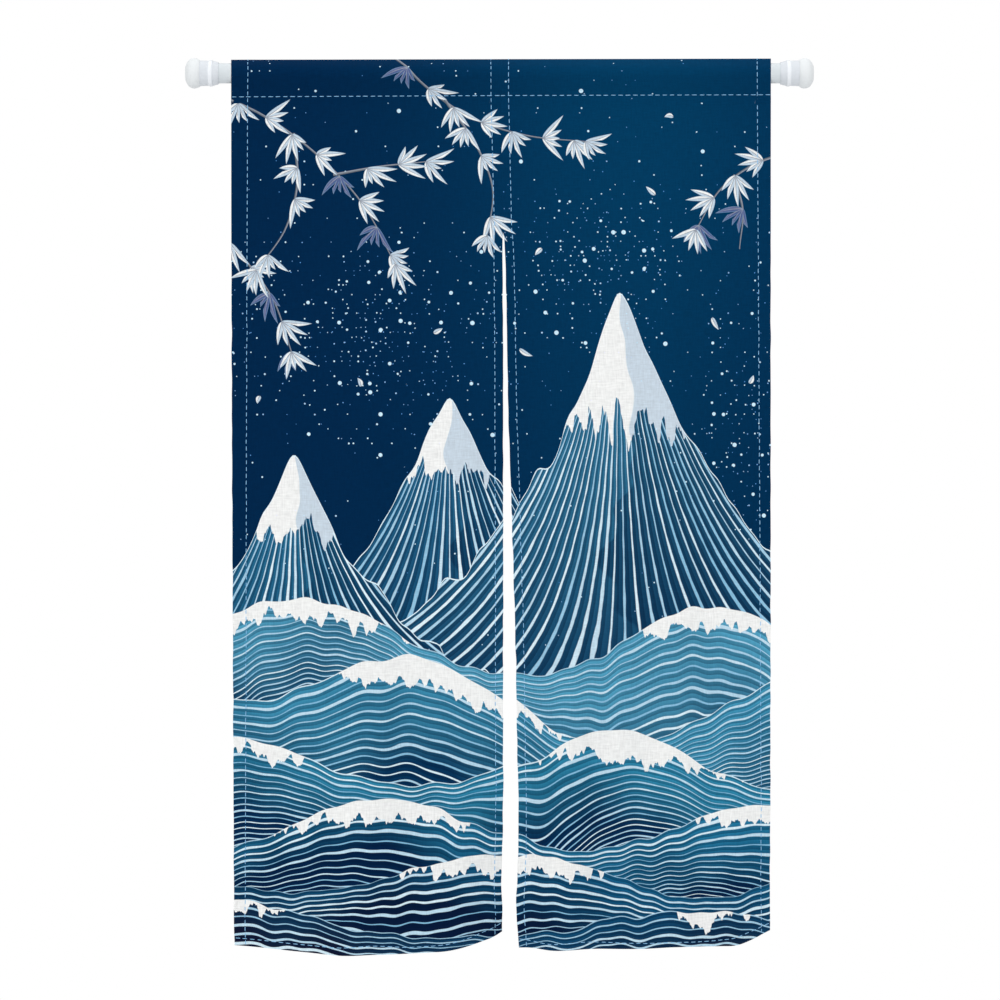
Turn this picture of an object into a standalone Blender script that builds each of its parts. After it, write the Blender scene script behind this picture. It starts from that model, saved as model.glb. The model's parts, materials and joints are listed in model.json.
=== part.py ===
"""A door curtain in two panels, hung from a white rod through a sewn pocket.

X runs along the rod, Z is up and the front of the cloth faces -Y. The origin is
the middle of the rod's axis. All sizes are in metres.
"""

import math
from collections import namedtuple

import bmesh
import bpy
import numpy as np

# Cloth
PANEL_WIDTH = 0.430
CLOTH_THICK = 0.0012
HEM_THICK = 0.0010  # what the turned-in hem adds to the back
CREASE_TOP = 0.0214  # middle of the cloth at the pocket's pressed crease, above the axis
CREASE_TILT = 0.0022  # how much higher that stands for each metre to the right
DRAWN_IN = 0.17  # how much narrower the cloth gets for each metre that it stands forward
POCKET_STITCH = 0.036  # the pocket's stitch line, below the axis
SLIT_TOP = 0.253  # the panels are sewn together down to here, below the axis
HEM_LOW = 1.399  # the lowest stretch of the bottom hem, below the axis
OUTER_HEM = 0.022
INNER_HEM = 0.013
BOTTOM_HEM = 0.0125
SEAM_GAP = 0.00035

# Rod
ROD_LENGTH = 1.000  # between the faces of its two end pads
TUBE_RADIUS = 0.0160
TUBE_WALL = 0.0008
SEAT_GAP = 0.00035  # between pieces that touch on the real thing

# Steps of the mesh
BODY_COLUMNS = 20
SEWN_ROWS = 4  # between the pocket and the slit's top
BODY_ROWS = 26
ROW_CROWDING = 1.25  # above 1 sets the rows closer together near the hem
WRAP_STEPS = 8
TURN_STEPS = 40
SMOOTH_ANGLE = math.radians(40)

# Where each panel's two edges hang, seen from the front
Level = namedtuple("Level", "below left_outer left_inner right_inner right_outer")
LEVELS = [
    Level(0.036, -0.4276, 0.0004, 0.0004, 0.4324),
    Level(0.253, -0.4274, 0.0057, 0.0057, 0.4323),
    Level(0.266, -0.4273, 0.0049, 0.0078, 0.4322),
    Level(0.298, -0.4272, 0.0048, 0.0094, 0.4322),
    Level(0.361, -0.4270, 0.0052, 0.0110, 0.4321),
    Level(0.457, -0.4268, 0.0059, 0.0125, 0.4321),
    Level(0.552, -0.4266, 0.0057, 0.0142, 0.4321),
    Level(0.648, -0.4263, 0.0057, 0.0178, 0.4320),
    Level(0.839, -0.4256, 0.0060, 0.0236, 0.4320),
    Level(0.935, -0.4253, 0.0056, 0.0262, 0.4318),
    Level(1.078, -0.4247, 0.0056, 0.0282, 0.4315),
    Level(1.158, -0.4245, 0.0060, 0.0305, 0.4318),
    Level(1.253, -0.4241, 0.0046, 0.0298, 0.4321),
    Level(1.317, -0.4240, 0.0026, 0.0268, 0.4325),
    Level(1.357, -0.4238, 0.0046, 0.0274, 0.4333),
    Level(1.399, -0.4237, 0.0042, 0.0314, 0.4342),
]

# The folds that each panel hangs in: where the fold's ridge or valley lies across
# the panel (0 is the left edge, 1 the right), half its width, how far it reaches
# back at the hem, where it starts down the drop, and how late it grows.
Fold = namedtuple("Fold", "across half_width back start grow")
FOLDS = {
    "panel_left": [
        Fold(0.00, 0.26, 0.014, 0.05, 1.2),
        Fold(0.20, 0.17, -0.006, 0.10, 1.0),
        Fold(0.43, 0.30, -0.026, 0.04, 1.1),
        Fold(0.70, 0.18, 0.009, 0.12, 1.0),
        Fold(1.00, 0.22, 0.012, 0.16, 1.0),
        Fold(1.00, 0.24, 0.044, 0.72, 1.7),
    ],
    "panel_right": [
        Fold(0.00, 0.16, 0.011, 0.16, 0.7),
        Fold(0.17, 0.18, -0.016, 0.10, 0.7),
        Fold(0.38, 0.17, 0.013, 0.06, 0.7),
        Fold(0.58, 0.20, -0.017, 0.04, 0.8),
        Fold(0.80, 0.17, 0.010, 0.06, 0.8),
        Fold(1.00, 0.16, -0.005, 0.10, 1.0),
        Fold(1.00, 0.22, 0.046, 0.74, 1.8),
    ],
}

# How far the bottom hem is drawn up from its lowest stretch
Rise = namedtuple("Rise", "across up")
RISES = {
    "panel_left": [
        Rise(0.00, 0.0085),
        Rise(0.12, 0.0050),
        Rise(0.28, 0.0001),
        Rise(0.40, -0.0040),
        Rise(0.52, -0.0030),
        Rise(0.66, -0.0036),
        Rise(0.83, 0.0018),
        Rise(0.92, 0.0106),
        Rise(0.97, 0.0178),
        Rise(1.00, 0.0256),
    ],
    "panel_right": [
        Rise(0.00, 0.0050),
        Rise(0.05, 0.0054),
        Rise(0.12, 0.0028),
        Rise(0.26, 0.0040),
        Rise(0.40, 0.0024),
        Rise(0.60, 0.0084),
        Rise(0.80, 0.0070),
        Rise(0.87, 0.0074),
        Rise(0.93, 0.0154),
        Rise(1.00, 0.0292),
    ],
}
RISE_POWER = 3.0  # the draw-up fades upwards over the lower part of the drop

# Turned profiles of the rod's ends: distance in from the pad's face, and radius
Turn = namedtuple("Turn", "inward radius")
PAD_OUTLINE = [
    Turn(0.0000, 0.0120),
    Turn(0.0016, 0.0155),
    Turn(0.0040, 0.0193),
    Turn(0.0064, 0.0218),
    Turn(0.0094, 0.0234),
    Turn(0.0140, 0.0241),
    Turn(0.0186, 0.0233),
    Turn(0.0215, 0.0219),
    Turn(0.0228, 0.0206),
]
CAP_OUTLINE = [
    Turn(0.0231, 0.0203),
    Turn(0.0360, 0.0199),
    Turn(0.0372, 0.0199),
    Turn(0.0380, 0.0205),
    Turn(0.0394, 0.0209),
    Turn(0.0426, 0.0209),
    Turn(0.0440, 0.0205),
    Turn(0.0448, 0.0194),
    Turn(0.0478, 0.0188),
    Turn(0.0508, 0.0180),
    Turn(0.0530, 0.0172),
]
SOCKET_DEPTH = 0.022


def clear_scene():
    for obj in list(bpy.data.objects):
        bpy.data.objects.remove(obj, do_unlink=True)


def material(name, colour, roughness, metallic=0.0):
    made = bpy.data.materials.new(name)
    made.use_nodes = True
    shader = made.node_tree.nodes["Principled BSDF"]
    shader.inputs["Base Color"].default_value = (*colour, 1.0)
    shader.inputs["Roughness"].default_value = roughness
    shader.inputs["Metallic"].default_value = metallic
    return made


def add_object(name, mesh, finish):
    mesh.materials.append(finish)
    obj = bpy.data.objects.new(name, mesh)
    bpy.context.scene.collection.objects.link(obj)
    return obj


def eased(rows, column, where):
    """A smooth curve through one column of a table, whose first column is the place."""
    place = np.array([row[0] for row in rows])
    value = np.array([getattr(row, column) for row in rows])
    slope = np.gradient(value, place)
    i = np.clip(np.searchsorted(place, where) - 1, 0, len(place) - 2)
    span = place[i + 1] - place[i]
    t = np.clip((where - place[i]) / span, 0.0, 1.0)
    start = (1 + 2 * t) * (1 - t) ** 2 * value[i] + t * (1 - t) ** 2 * span * slope[i]
    end = t**2 * (3 - 2 * t) * value[i + 1] + t**2 * (t - 1) * span * slope[i + 1]
    return float(start + end)


def bell(distance):
    """1 at a fold's middle, falling smoothly to 0 at its half width."""
    return 0.5 * (1 + math.cos(math.pi * min(1.0, abs(distance))))


def fold_back(panel, across, down):
    """How far the cloth hangs behind the rod's axis. down is 0 at the pocket, 1 at the hem."""
    total = 0.0
    for fold in FOLDS[panel]:
        grown = max(0.0, (down - fold.start) / (1 - fold.start)) ** fold.grow
        total += fold.back * grown * bell((across - fold.across) / fold.half_width)
    return total


def body_point(panel, across, down):
    """The middle of the cloth at one place of the hanging part, as x, y, z."""
    below = POCKET_STITCH + down * (HEM_LOW - POCKET_STITCH)
    side = panel.split("_")[1]
    edges = ("left_outer", "left_inner") if side == "left" else ("right_inner", "right_outer")
    levels = [level.below for level in LEVELS]
    low, high = (
        float(np.interp(below, levels, [getattr(level, edge) for level in LEVELS]))
        for edge in edges
    )
    if side == "left":
        high -= SEAM_GAP / 2
    else:
        low += SEAM_GAP / 2
    up = eased(RISES[panel], "up", across) * down**RISE_POWER
    return low + across * (high - low), fold_back(panel, across, down), up - below


def drawn_in(x, y, z):
    """A point of the cloth, moved towards the seam as it stands forward."""
    return x * (1 + DRAWN_IN * min(0.0, y)), y, z


def pocket_outline(crease_top):
    """The pocket's section round the rod: its outer and inner points from front to back.

    Each side runs straight from the stitch line, bends round the rod and rises
    straight again to the pressed crease. The first inner point is the bottom of
    the tunnel, where the two layers meet.
    """
    middle = TUBE_RADIUS + SEAT_GAP + CLOTH_THICK / 2
    leaves = math.acos(middle / POCKET_STITCH)
    joins = math.pi - math.acos(middle / crease_top)
    half = CLOTH_THICK / 2
    turns = [leaves + (joins - leaves) * i / WRAP_STEPS for i in range(WRAP_STEPS + 1)]
    halfway = 0.5 * (middle * math.tan(leaves))
    front_outer, front_inner = [], []
    for radius, points in ((middle + half, front_outer), (middle - half, front_inner)):
        points.append(
            (
                -radius * math.sin(leaves) + halfway * math.cos(leaves),
                -radius * math.cos(leaves) - halfway * math.sin(leaves),
            )
        )
        points += [(-radius * math.sin(a), -radius * math.cos(a)) for a in turns]
    crease = half / (middle / crease_top)
    mirrored = [[(-y, z) for y, z in reversed(side)] for side in (front_outer, front_inner)]
    outer = front_outer + [(0.0, crease_top + crease)] + mirrored[0]
    inner = front_inner + [(0.0, crease_top - crease)] + mirrored[1]
    tunnel_bottom = (0.0, -POCKET_STITCH + half / (middle / POCKET_STITCH))
    return outer, [tunnel_bottom] + inner


def columns_across(panel):
    """Even places across a panel, with a pair of close ones at each side hem's edge."""
    hems = (OUTER_HEM, INNER_HEM) if panel == "panel_left" else (INNER_HEM, OUTER_HEM)
    step = CLOTH_THICK / 2 / PANEL_WIDTH
    left = hems[0] / PANEL_WIDTH
    right = 1 - hems[1] / PANEL_WIDTH
    inside = np.linspace(left, right, BODY_COLUMNS + 1)[1:-1]
    return [0.0, left, left + step, *inside, right - step, right, 1.0], left, right


def rows_down():
    """Places down the hanging part, closer near the hem, with the slit's top among them."""
    drop = HEM_LOW - POCKET_STITCH
    slit = (SLIT_TOP - POCKET_STITCH) / drop
    hem = 1 - BOTTOM_HEM / drop
    step = CLOTH_THICK / 2 / drop
    above = np.linspace(0, slit, SEWN_ROWS + 1)[:-1]
    crowded = 1 - (1 - np.linspace(0, 1, BODY_ROWS)) ** ROW_CROWDING
    below = slit + (hem - step - slit) * crowded
    return [*above, *below, hem, 1.0], hem


def skin(bm, outlines):
    """Faces between neighbouring closed outlines of the same length."""
    for one, other in zip(outlines, outlines[1:]):
        for k in range(len(one)):
            n = (k + 1) % len(one)
            bm.faces.new((one[k], other[k], other[n], one[n]))


def close_end(bm, outer, inner, rows):
    """The flat end of a panel: its body down to the hem, and the ring round the rod."""
    front, back = outer[:rows], outer[-rows:][::-1]
    for k in range(rows - 1):
        bm.faces.new((front[k], front[k + 1], back[k + 1], back[k]))
    ring = [front[-1], *outer[rows:-rows], back[-1]]
    tunnel = [*inner, inner[0]]
    for k in range(len(ring) - 1):
        bm.faces.new((ring[k], ring[k + 1], tunnel[k + 1], tunnel[k]))
    bm.faces.new((ring[0], inner[0], ring[-1]))


def cloth_panel(panel, finish):
    """One panel: the hanging cloth with its hems, and the pocket that holds the rod."""
    bm = bmesh.new()
    across, left_hem, right_hem = columns_across(panel)
    down, bottom_hem = rows_down()
    outers, inners = [], []
    for u in across:
        front, back = [], []
        for t in reversed(down):
            x, y, z = body_point(panel, u, t)
            hemmed = u <= left_hem or u >= right_hem or t >= bottom_hem
            behind = CLOTH_THICK / 2 + (HEM_THICK if hemmed else 0.0)
            front.append(bm.verts.new(drawn_in(x, y - CLOTH_THICK / 2, z)))
            back.append(bm.verts.new(drawn_in(x, y + behind, z)))
        pocket_outer, pocket_inner = pocket_outline(CREASE_TOP + CREASE_TILT * x)
        ring = [bm.verts.new(drawn_in(x, y, z)) for y, z in pocket_outer]
        inners.append([bm.verts.new(drawn_in(x, y, z)) for y, z in pocket_inner])
        outers.append(front + ring + back[::-1])
    skin(bm, outers)
    skin(bm, inners)
    for end in (0, -1):
        close_end(bm, outers[end], inners[end], len(down))
    bmesh.ops.recalc_face_normals(bm, faces=bm.faces)
    mesh = bpy.data.meshes.new(panel)
    bm.to_mesh(mesh)
    bm.free()
    mesh.shade_smooth()
    mesh.set_sharp_from_angle(angle=SMOOTH_ANGLE)
    return add_object(panel, mesh, finish)


def turned_piece(name, outline, side, finish):
    """A piece turned about the rod's axis, standing in from the pad's face on one side."""
    mesh = bpy.data.meshes.new(name)
    bm = bmesh.new()
    points = [bm.verts.new((turn.radius, 0, -turn.inward)) for turn in outline]
    for one, other in zip(points, points[1:]):
        bm.edges.new((one, other))
    bm.to_mesh(mesh)
    bm.free()
    piece = add_object(name, mesh, finish)
    screw = piece.modifiers.new("Turn", "SCREW")
    screw.steps = screw.render_steps = TURN_STEPS
    screw.use_merge_vertices = True
    screw.merge_threshold = 0.00001
    screw.use_smooth_shade = False
    piece.location = (side * ROD_LENGTH / 2, 0, 0)
    piece.rotation_euler = (0, side * math.pi / 2, 0)
    return piece


def end_pad(name, side, finish):
    """The soft pad that presses on the door frame."""
    outline = [Turn(0.0, 0.0), *PAD_OUTLINE, Turn(PAD_OUTLINE[-1].inward, 0.0)]
    return turned_piece(name, outline, side, finish)


def end_cap(name, side, finish):
    """The hard cap with its bead, whose socket takes the end of the tube."""
    bore = TUBE_RADIUS + SEAT_GAP
    mouth = CAP_OUTLINE[-1].inward
    floor = mouth - SOCKET_DEPTH
    outline = [
        Turn(CAP_OUTLINE[0].inward, 0.0),
        *CAP_OUTLINE,
        Turn(mouth, bore),
        Turn(floor, bore),
        Turn(floor, 0.0),
    ]
    return turned_piece(name, outline, side, finish)


def rod_tube(name, finish):
    """The plain tube, from one cap's socket to the other's."""
    reach = ROD_LENGTH / 2 - CAP_OUTLINE[-1].inward + SOCKET_DEPTH - SEAT_GAP
    inner = TUBE_RADIUS - TUBE_WALL
    outline = [
        Turn(reach, TUBE_RADIUS),
        Turn(-reach, TUBE_RADIUS),
        Turn(-reach, inner),
        Turn(reach, inner),
        Turn(reach, TUBE_RADIUS),
    ]
    tube = turned_piece(name, outline[::-1], 1, finish)
    tube.location = (0, 0, 0)
    return tube


def build():
    clear_scene()
    cloth = material("cloth", (0.010, 0.035, 0.095), 0.9)
    tube_paint = material("tube_paint", (0.80, 0.83, 0.85), 0.35)
    cap_plastic = material("cap_plastic", (0.82, 0.84, 0.86), 0.4)
    pad_rubber = material("pad_rubber", (0.86, 0.88, 0.89), 0.6)
    for panel in FOLDS:
        cloth_panel(panel, cloth)
    rod_tube("rod_tube", tube_paint)
    for word, side in (("left", -1), ("right", 1)):
        end_cap(f"cap_{word}", side, cap_plastic)
        end_pad(f"pad_{word}", side, pad_rubber)


build()
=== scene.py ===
# A door curtain in two panels on a white tension rod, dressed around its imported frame.
# Metres throughout. X runs along the rod, Z is up and the printed side faces -Y.

import json
import math

import bpy
import numpy as np
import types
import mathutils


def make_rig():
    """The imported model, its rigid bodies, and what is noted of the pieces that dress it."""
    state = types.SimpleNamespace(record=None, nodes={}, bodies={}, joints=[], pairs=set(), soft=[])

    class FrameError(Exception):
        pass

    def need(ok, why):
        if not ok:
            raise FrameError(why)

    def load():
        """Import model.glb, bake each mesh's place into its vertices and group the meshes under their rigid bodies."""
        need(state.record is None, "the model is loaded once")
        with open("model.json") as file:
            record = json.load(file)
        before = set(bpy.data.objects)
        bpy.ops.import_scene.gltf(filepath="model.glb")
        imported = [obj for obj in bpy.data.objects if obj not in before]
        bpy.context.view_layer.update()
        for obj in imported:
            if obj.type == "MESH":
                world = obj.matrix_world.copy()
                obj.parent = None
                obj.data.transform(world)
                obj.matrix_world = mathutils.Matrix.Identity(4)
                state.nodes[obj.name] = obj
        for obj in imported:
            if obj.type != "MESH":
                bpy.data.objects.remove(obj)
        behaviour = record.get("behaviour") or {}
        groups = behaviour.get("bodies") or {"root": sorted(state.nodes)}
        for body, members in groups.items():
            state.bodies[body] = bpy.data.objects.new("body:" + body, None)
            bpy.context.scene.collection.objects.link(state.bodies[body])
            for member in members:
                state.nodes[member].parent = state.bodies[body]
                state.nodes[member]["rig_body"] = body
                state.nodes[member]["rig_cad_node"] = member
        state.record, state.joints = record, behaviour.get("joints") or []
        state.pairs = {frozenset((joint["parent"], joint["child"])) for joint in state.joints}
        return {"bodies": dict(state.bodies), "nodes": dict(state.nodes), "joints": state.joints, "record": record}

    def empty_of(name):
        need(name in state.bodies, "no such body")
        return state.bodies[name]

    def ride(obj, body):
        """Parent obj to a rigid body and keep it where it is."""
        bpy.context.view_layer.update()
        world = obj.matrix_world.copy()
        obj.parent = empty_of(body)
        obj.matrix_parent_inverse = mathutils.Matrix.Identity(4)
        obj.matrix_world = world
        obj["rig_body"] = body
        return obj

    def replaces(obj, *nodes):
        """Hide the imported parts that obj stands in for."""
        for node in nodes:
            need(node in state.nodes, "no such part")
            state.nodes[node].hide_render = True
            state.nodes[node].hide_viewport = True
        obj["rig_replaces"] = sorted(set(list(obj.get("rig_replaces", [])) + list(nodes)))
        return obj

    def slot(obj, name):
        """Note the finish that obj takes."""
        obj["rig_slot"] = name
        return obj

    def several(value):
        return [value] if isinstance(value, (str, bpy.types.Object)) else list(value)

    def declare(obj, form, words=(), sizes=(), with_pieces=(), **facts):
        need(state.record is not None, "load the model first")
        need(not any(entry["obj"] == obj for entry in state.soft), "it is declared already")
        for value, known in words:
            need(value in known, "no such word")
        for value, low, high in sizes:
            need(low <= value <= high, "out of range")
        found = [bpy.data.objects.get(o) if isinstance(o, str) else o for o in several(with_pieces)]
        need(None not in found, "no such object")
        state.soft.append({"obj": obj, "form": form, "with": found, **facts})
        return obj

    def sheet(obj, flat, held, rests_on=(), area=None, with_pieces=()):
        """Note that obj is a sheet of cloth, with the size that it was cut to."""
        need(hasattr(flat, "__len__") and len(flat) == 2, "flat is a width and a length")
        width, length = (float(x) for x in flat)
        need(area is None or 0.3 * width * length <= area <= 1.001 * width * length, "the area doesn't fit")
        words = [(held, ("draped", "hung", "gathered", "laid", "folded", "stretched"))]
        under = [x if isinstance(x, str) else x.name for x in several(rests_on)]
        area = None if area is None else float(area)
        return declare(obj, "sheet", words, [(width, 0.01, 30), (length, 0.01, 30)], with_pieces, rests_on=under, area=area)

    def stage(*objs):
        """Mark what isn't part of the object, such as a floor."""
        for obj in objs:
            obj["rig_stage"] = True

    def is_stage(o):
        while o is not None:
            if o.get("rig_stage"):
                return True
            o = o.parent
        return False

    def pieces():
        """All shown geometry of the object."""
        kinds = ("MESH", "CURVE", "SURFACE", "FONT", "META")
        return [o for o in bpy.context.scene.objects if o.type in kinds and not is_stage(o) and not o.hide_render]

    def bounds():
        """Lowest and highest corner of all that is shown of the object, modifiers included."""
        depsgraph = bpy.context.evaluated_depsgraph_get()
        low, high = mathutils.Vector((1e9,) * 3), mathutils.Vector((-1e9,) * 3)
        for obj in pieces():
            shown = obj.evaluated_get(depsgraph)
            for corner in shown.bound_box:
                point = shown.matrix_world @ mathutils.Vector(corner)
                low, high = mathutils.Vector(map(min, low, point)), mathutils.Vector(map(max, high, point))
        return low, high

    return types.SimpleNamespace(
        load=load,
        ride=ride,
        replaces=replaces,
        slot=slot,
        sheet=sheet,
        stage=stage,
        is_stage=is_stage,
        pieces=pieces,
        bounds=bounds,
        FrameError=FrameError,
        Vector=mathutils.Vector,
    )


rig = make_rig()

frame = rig.load()
cadBox = [list(corner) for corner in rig.bounds()]
print("frame loaded:", ", ".join(sorted(frame["nodes"])))


# Camera: square on to the curtain, level with the middle of the picture

picture = {
    "metresPerPixel": 0.86 / 539.8,
    "pixels": 1000,
    "rodAt": (499.5, 73.3),  # where the middle of the rod's axis is seen
    "lens": 135.0,
    "sensor": 36.0,
}


def setCamera():
    # as far away as makes the lens show the picture's width in the plane of the rod's axis
    scale, middle = picture["metresPerPixel"], picture["pixels"] / 2
    away = scale * picture["pixels"] * picture["lens"] / picture["sensor"]
    camera = bpy.data.cameras.new("camera")
    camera.lens = picture["lens"]
    camera.sensor_width = picture["sensor"]
    eye = bpy.data.objects.new("camera", camera)
    eye.location = ((middle - picture["rodAt"][0]) * scale, -away, (picture["rodAt"][1] - middle) * scale)
    eye.rotation_euler = (math.pi / 2, 0, 0)
    bpy.context.scene.collection.objects.link(eye)
    bpy.context.scene.camera = eye


setCamera()
print("camera set")


# Values in a node tree, and short ways to work with them

def sign(operation, turned=False):
    # what a sign does between two values; turned where a plain number stands before the value
    return lambda value, other: calc(operation, *((other, value) if turned else (value, other)))


class Value:
    # what a node gives out; a sign between two of them adds the Math node that works it out

    def __init__(self, socket):
        self.socket, self.tree = socket, socket.id_data

    __add__ = __radd__ = sign("ADD")
    __mul__ = __rmul__ = sign("MULTIPLY")
    __sub__ = sign("SUBTRACT")
    __rsub__ = sign("SUBTRACT", turned=True)
    __truediv__ = sign("DIVIDE")
    __mod__ = sign("FLOORED_MODULO")
    __pow__ = sign("POWER")
    __lt__ = sign("LESS_THAN")
    __gt__ = sign("GREATER_THAN")

    def __abs__(self):
        return calc("ABSOLUTE", self)

    def __round__(self):
        return calc("ROUND", self)


def screenColour(red, green, blue):
    # a colour as it is seen on a screen, turned to the linear light that a shader takes
    seen = np.array([red, green, blue]) / 255
    light = np.where(seen <= 0.04045, seen / 12.92, ((seen + 0.055) / 1.055) ** 2.4)
    return (*light.tolist(), 1.0)


def setInputs(node, inputs):
    # for each input a link from a value, or the plain number or colour given; three plain
    # numbers are a colour as it is seen on a screen
    for key, value in inputs.items():
        if isinstance(value, Value):
            value.tree.links.new(value.socket, node.inputs[key])
        else:
            seen = isinstance(value, tuple) and len(value) == 3
            node.inputs[key].default_value = screenColour(*value) if seen else value


def addNode(tree, kind, inputs, **settings):
    # a node with its settings, then its inputs, because a setting may change which inputs it has
    node = tree.nodes.new(kind)
    for name, setting in settings.items():
        setattr(node, name, setting)
    setInputs(node, inputs)
    return node


def source(tree, kind, output, **settings):
    # what a node with nothing linked to it gives out
    return Value(addNode(tree, kind, {}, **settings).outputs[output])


def field(tree, name, output="Vector"):
    # what a mesh keeps under that name with each of its points
    return source(tree, "ShaderNodeAttribute", output, attribute_name=name, attribute_type="GEOMETRY")


def objectPlace(tree):
    # where on the piece a point lies, in metres
    return source(tree, "ShaderNodeTexCoord", "Object")


def worked(kind, inputs, output=0, **settings):
    # what a node makes of its inputs, in the tree of the first value among them
    tree = next(value.tree for value in inputs.values() if isinstance(value, Value))
    return Value(addNode(tree, kind, inputs, **settings).outputs[output])


def calc(operation, *values, clamp=False):
    # what a Math node makes of the values
    return worked("ShaderNodeMath", dict(enumerate(values)), operation=operation, use_clamp=clamp)


def limited(value):
    # kept between 0 and 1
    return calc("ADD", value, 0.0, clamp=True)


def soft(value, width):
    # 0 below zero and 1 above it, changing over width
    return calc("MULTIPLY_ADD", value, 1 / width, 0.5, clamp=True)


def mixed(share, below, above, **settings):
    # a share of the colour above, laid over the colour below
    return worked("ShaderNodeMix", {0: share, 6: below, 7: above}, 2, data_type="RGBA", **settings)


def split(vector):
    # the three parts of a vector or colour
    node = addNode(vector.tree, "ShaderNodeSeparateXYZ", {0: vector})
    return [Value(socket) for socket in node.outputs[:3]]


def joined(x, y, z=0.0):
    # three numbers as one vector
    return worked("ShaderNodeCombineXYZ", {0: x, 1: y, 2: z})


def noise(vector, scale, detail=2.0):
    # smooth random values around a half, with about scale of them to a metre
    return worked("ShaderNodeTexNoise", {"Vector": vector, "Scale": scale, "Detail": detail})


def chance(seed, output="Value"):
    # a random number or colour for each different seed
    return worked("ShaderNodeTexWhiteNoise", {"W": seed}, output, noise_dimensions="1D")


def bumped(height, distance, strength):
    # the surface's normal tilted as if a height of 1 stood up by the distance
    return worked("ShaderNodeBump", {"Height": height, "Distance": distance, "Strength": strength})


def newFinish(name, roughness, specular, **more):
    # a material whose constant values sit on the shader's own sockets
    finish = bpy.data.materials.new(name)
    finish.use_nodes = True
    shader = finish.node_tree.nodes["Principled BSDF"]
    setInputs(shader, {"Roughness": roughness, "Specular IOR Level": specular, **more})
    return finish, finish.node_tree, shader


# Shapes shared by several pieces

def smoothCurve(places, values, where):
    # a cubic through the values, its slope at each place found from its neighbours
    places, values = np.asarray(places, float), np.asarray(values, float)
    slopes = np.gradient(values, places)
    i = np.clip(np.searchsorted(places, where) - 1, 0, len(places) - 2)
    span = places[i + 1] - places[i]
    t = np.clip((where - places[i]) / span, 0, 1)
    start = (1 + 2 * t) * (1 - t) ** 2 * values[i] + t * (1 - t) ** 2 * span * slopes[i]
    end = t ** 2 * (3 - 2 * t) * values[i + 1] + t ** 2 * (t - 1) * span * slopes[i + 1]
    return start + end


def throughPoints(points, step):
    # a smooth line through points, each coordinate a cubic of the way along, one point every step
    points = np.asarray(points, float)
    reach = np.concatenate([[0], np.cumsum(np.linalg.norm(np.diff(points, axis=0), axis=1))])
    where = np.linspace(0, reach[-1], max(2, int(round(reach[-1] / step)) + 1))
    return np.stack([smoothCurve(reach, column, where) for column in points.T], axis=1)


def smoothStep(low, high, where):
    # 0 below low, 1 above high, a smooth S between
    t = np.clip((where - low) / (high - low), 0, 1)
    return t * t * (3 - 2 * t)


def ripple(seed, reach, x, z=0.0):
    # uneven relief mostly between -1 and 1: a sum of sines in random directions
    random = np.random.default_rng(seed)
    total = np.zeros(np.broadcast(x, z).shape)
    waves = 9
    for _ in range(waves):
        turn = random.uniform(0, 2 * math.pi) if np.ndim(z) else 0.0
        length = reach * random.uniform(0.6, 1.7)
        shift = random.uniform(0, 2 * math.pi)
        total += np.sin(2 * math.pi * (x * math.cos(turn) + z * math.sin(turn)) / length + shift)
    return total / math.sqrt(waves)


def newPiece(name, points, faces, finish, sharpAngle=None):
    # a smooth mesh, creased where its faces meet at more than the sharp angle
    mesh = bpy.data.meshes.new(name)
    mesh.from_pydata(points.reshape(-1, 3).tolist(), [], [list(map(int, face)) for face in faces])
    mesh.materials.append(finish)
    mesh.shade_smooth()
    if sharpAngle is not None:
        mesh.set_sharp_from_angle(angle=math.radians(sharpAngle))
    piece = bpy.data.objects.new(name, mesh)
    bpy.context.scene.collection.objects.link(piece)
    return piece


def addField(mesh, name, values):
    # one number, or three, kept with each point of the mesh for its material to read
    kind, key = ("FLOAT_VECTOR", "vector") if values.ndim > 1 else ("FLOAT", "value")
    mesh.attributes.new(name, kind, "POINT").data.foreach_set(key, values.astype(np.float32).ravel())


def gridFaces(rows, columns):
    # four-sided faces of a grid of points counted row by row
    corner = (np.arange(rows - 1)[:, None] * columns + np.arange(columns - 1)).ravel()
    return np.stack([corner, corner + 1, corner + columns + 1, corner + columns], axis=1)


def gridRim(rows, columns):
    # the points round a grid's edge, in the same turning sense as its faces
    grid = np.arange(rows * columns).reshape(rows, columns)
    return np.concatenate([grid[0, :-1], grid[:-1, -1], grid[-1, :0:-1], grid[:0:-1, 0]])


# Floor and soft light

studio = {
    "floor": -2.05,
    "floorRadius": 4.0,
    "floorSides": 96,
    "floorInks": ((0.88, 0.88, 0.885, 1), (0.91, 0.91, 0.915, 1)),
    "floorClouds": 3.0,  # to the metre
    "floorFade": (1.6, 3.9),  # where it starts to pass into the white ground, and where it has
    "sky": 0.62,  # as a light; the camera sees it white
    "lamps": [  # name, place, aim, size, power
        ("overhead", (0.0, -0.4, 3.2), (0.0, -0.2, -2.0), 6.0, 78.0),
        ("frontLeft", (-4.0, -5.0, 1.2), (0.0, 0.0, -0.6), 3.0, 92.0),
        ("frontRight", (4.0, -5.0, 1.2), (0.0, 0.0, -0.6), 3.0, 72.0),
    ],
}


def setSky():
    # white where the camera looks, and weaker as a light
    world = bpy.data.worlds.new("studio")
    bpy.context.scene.world = world
    world.use_nodes = True
    seen = source(world.node_tree, "ShaderNodeLightPath", "Is Camera Ray")
    power = worked("ShaderNodeMix", {0: seen, 2: studio["sky"], 3: 1.0}, data_type="FLOAT")
    setInputs(world.node_tree.nodes["Background"], {"Color": (1, 1, 1, 1), "Strength": power})
    bpy.context.scene.view_settings.view_transform = "Standard"


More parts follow.
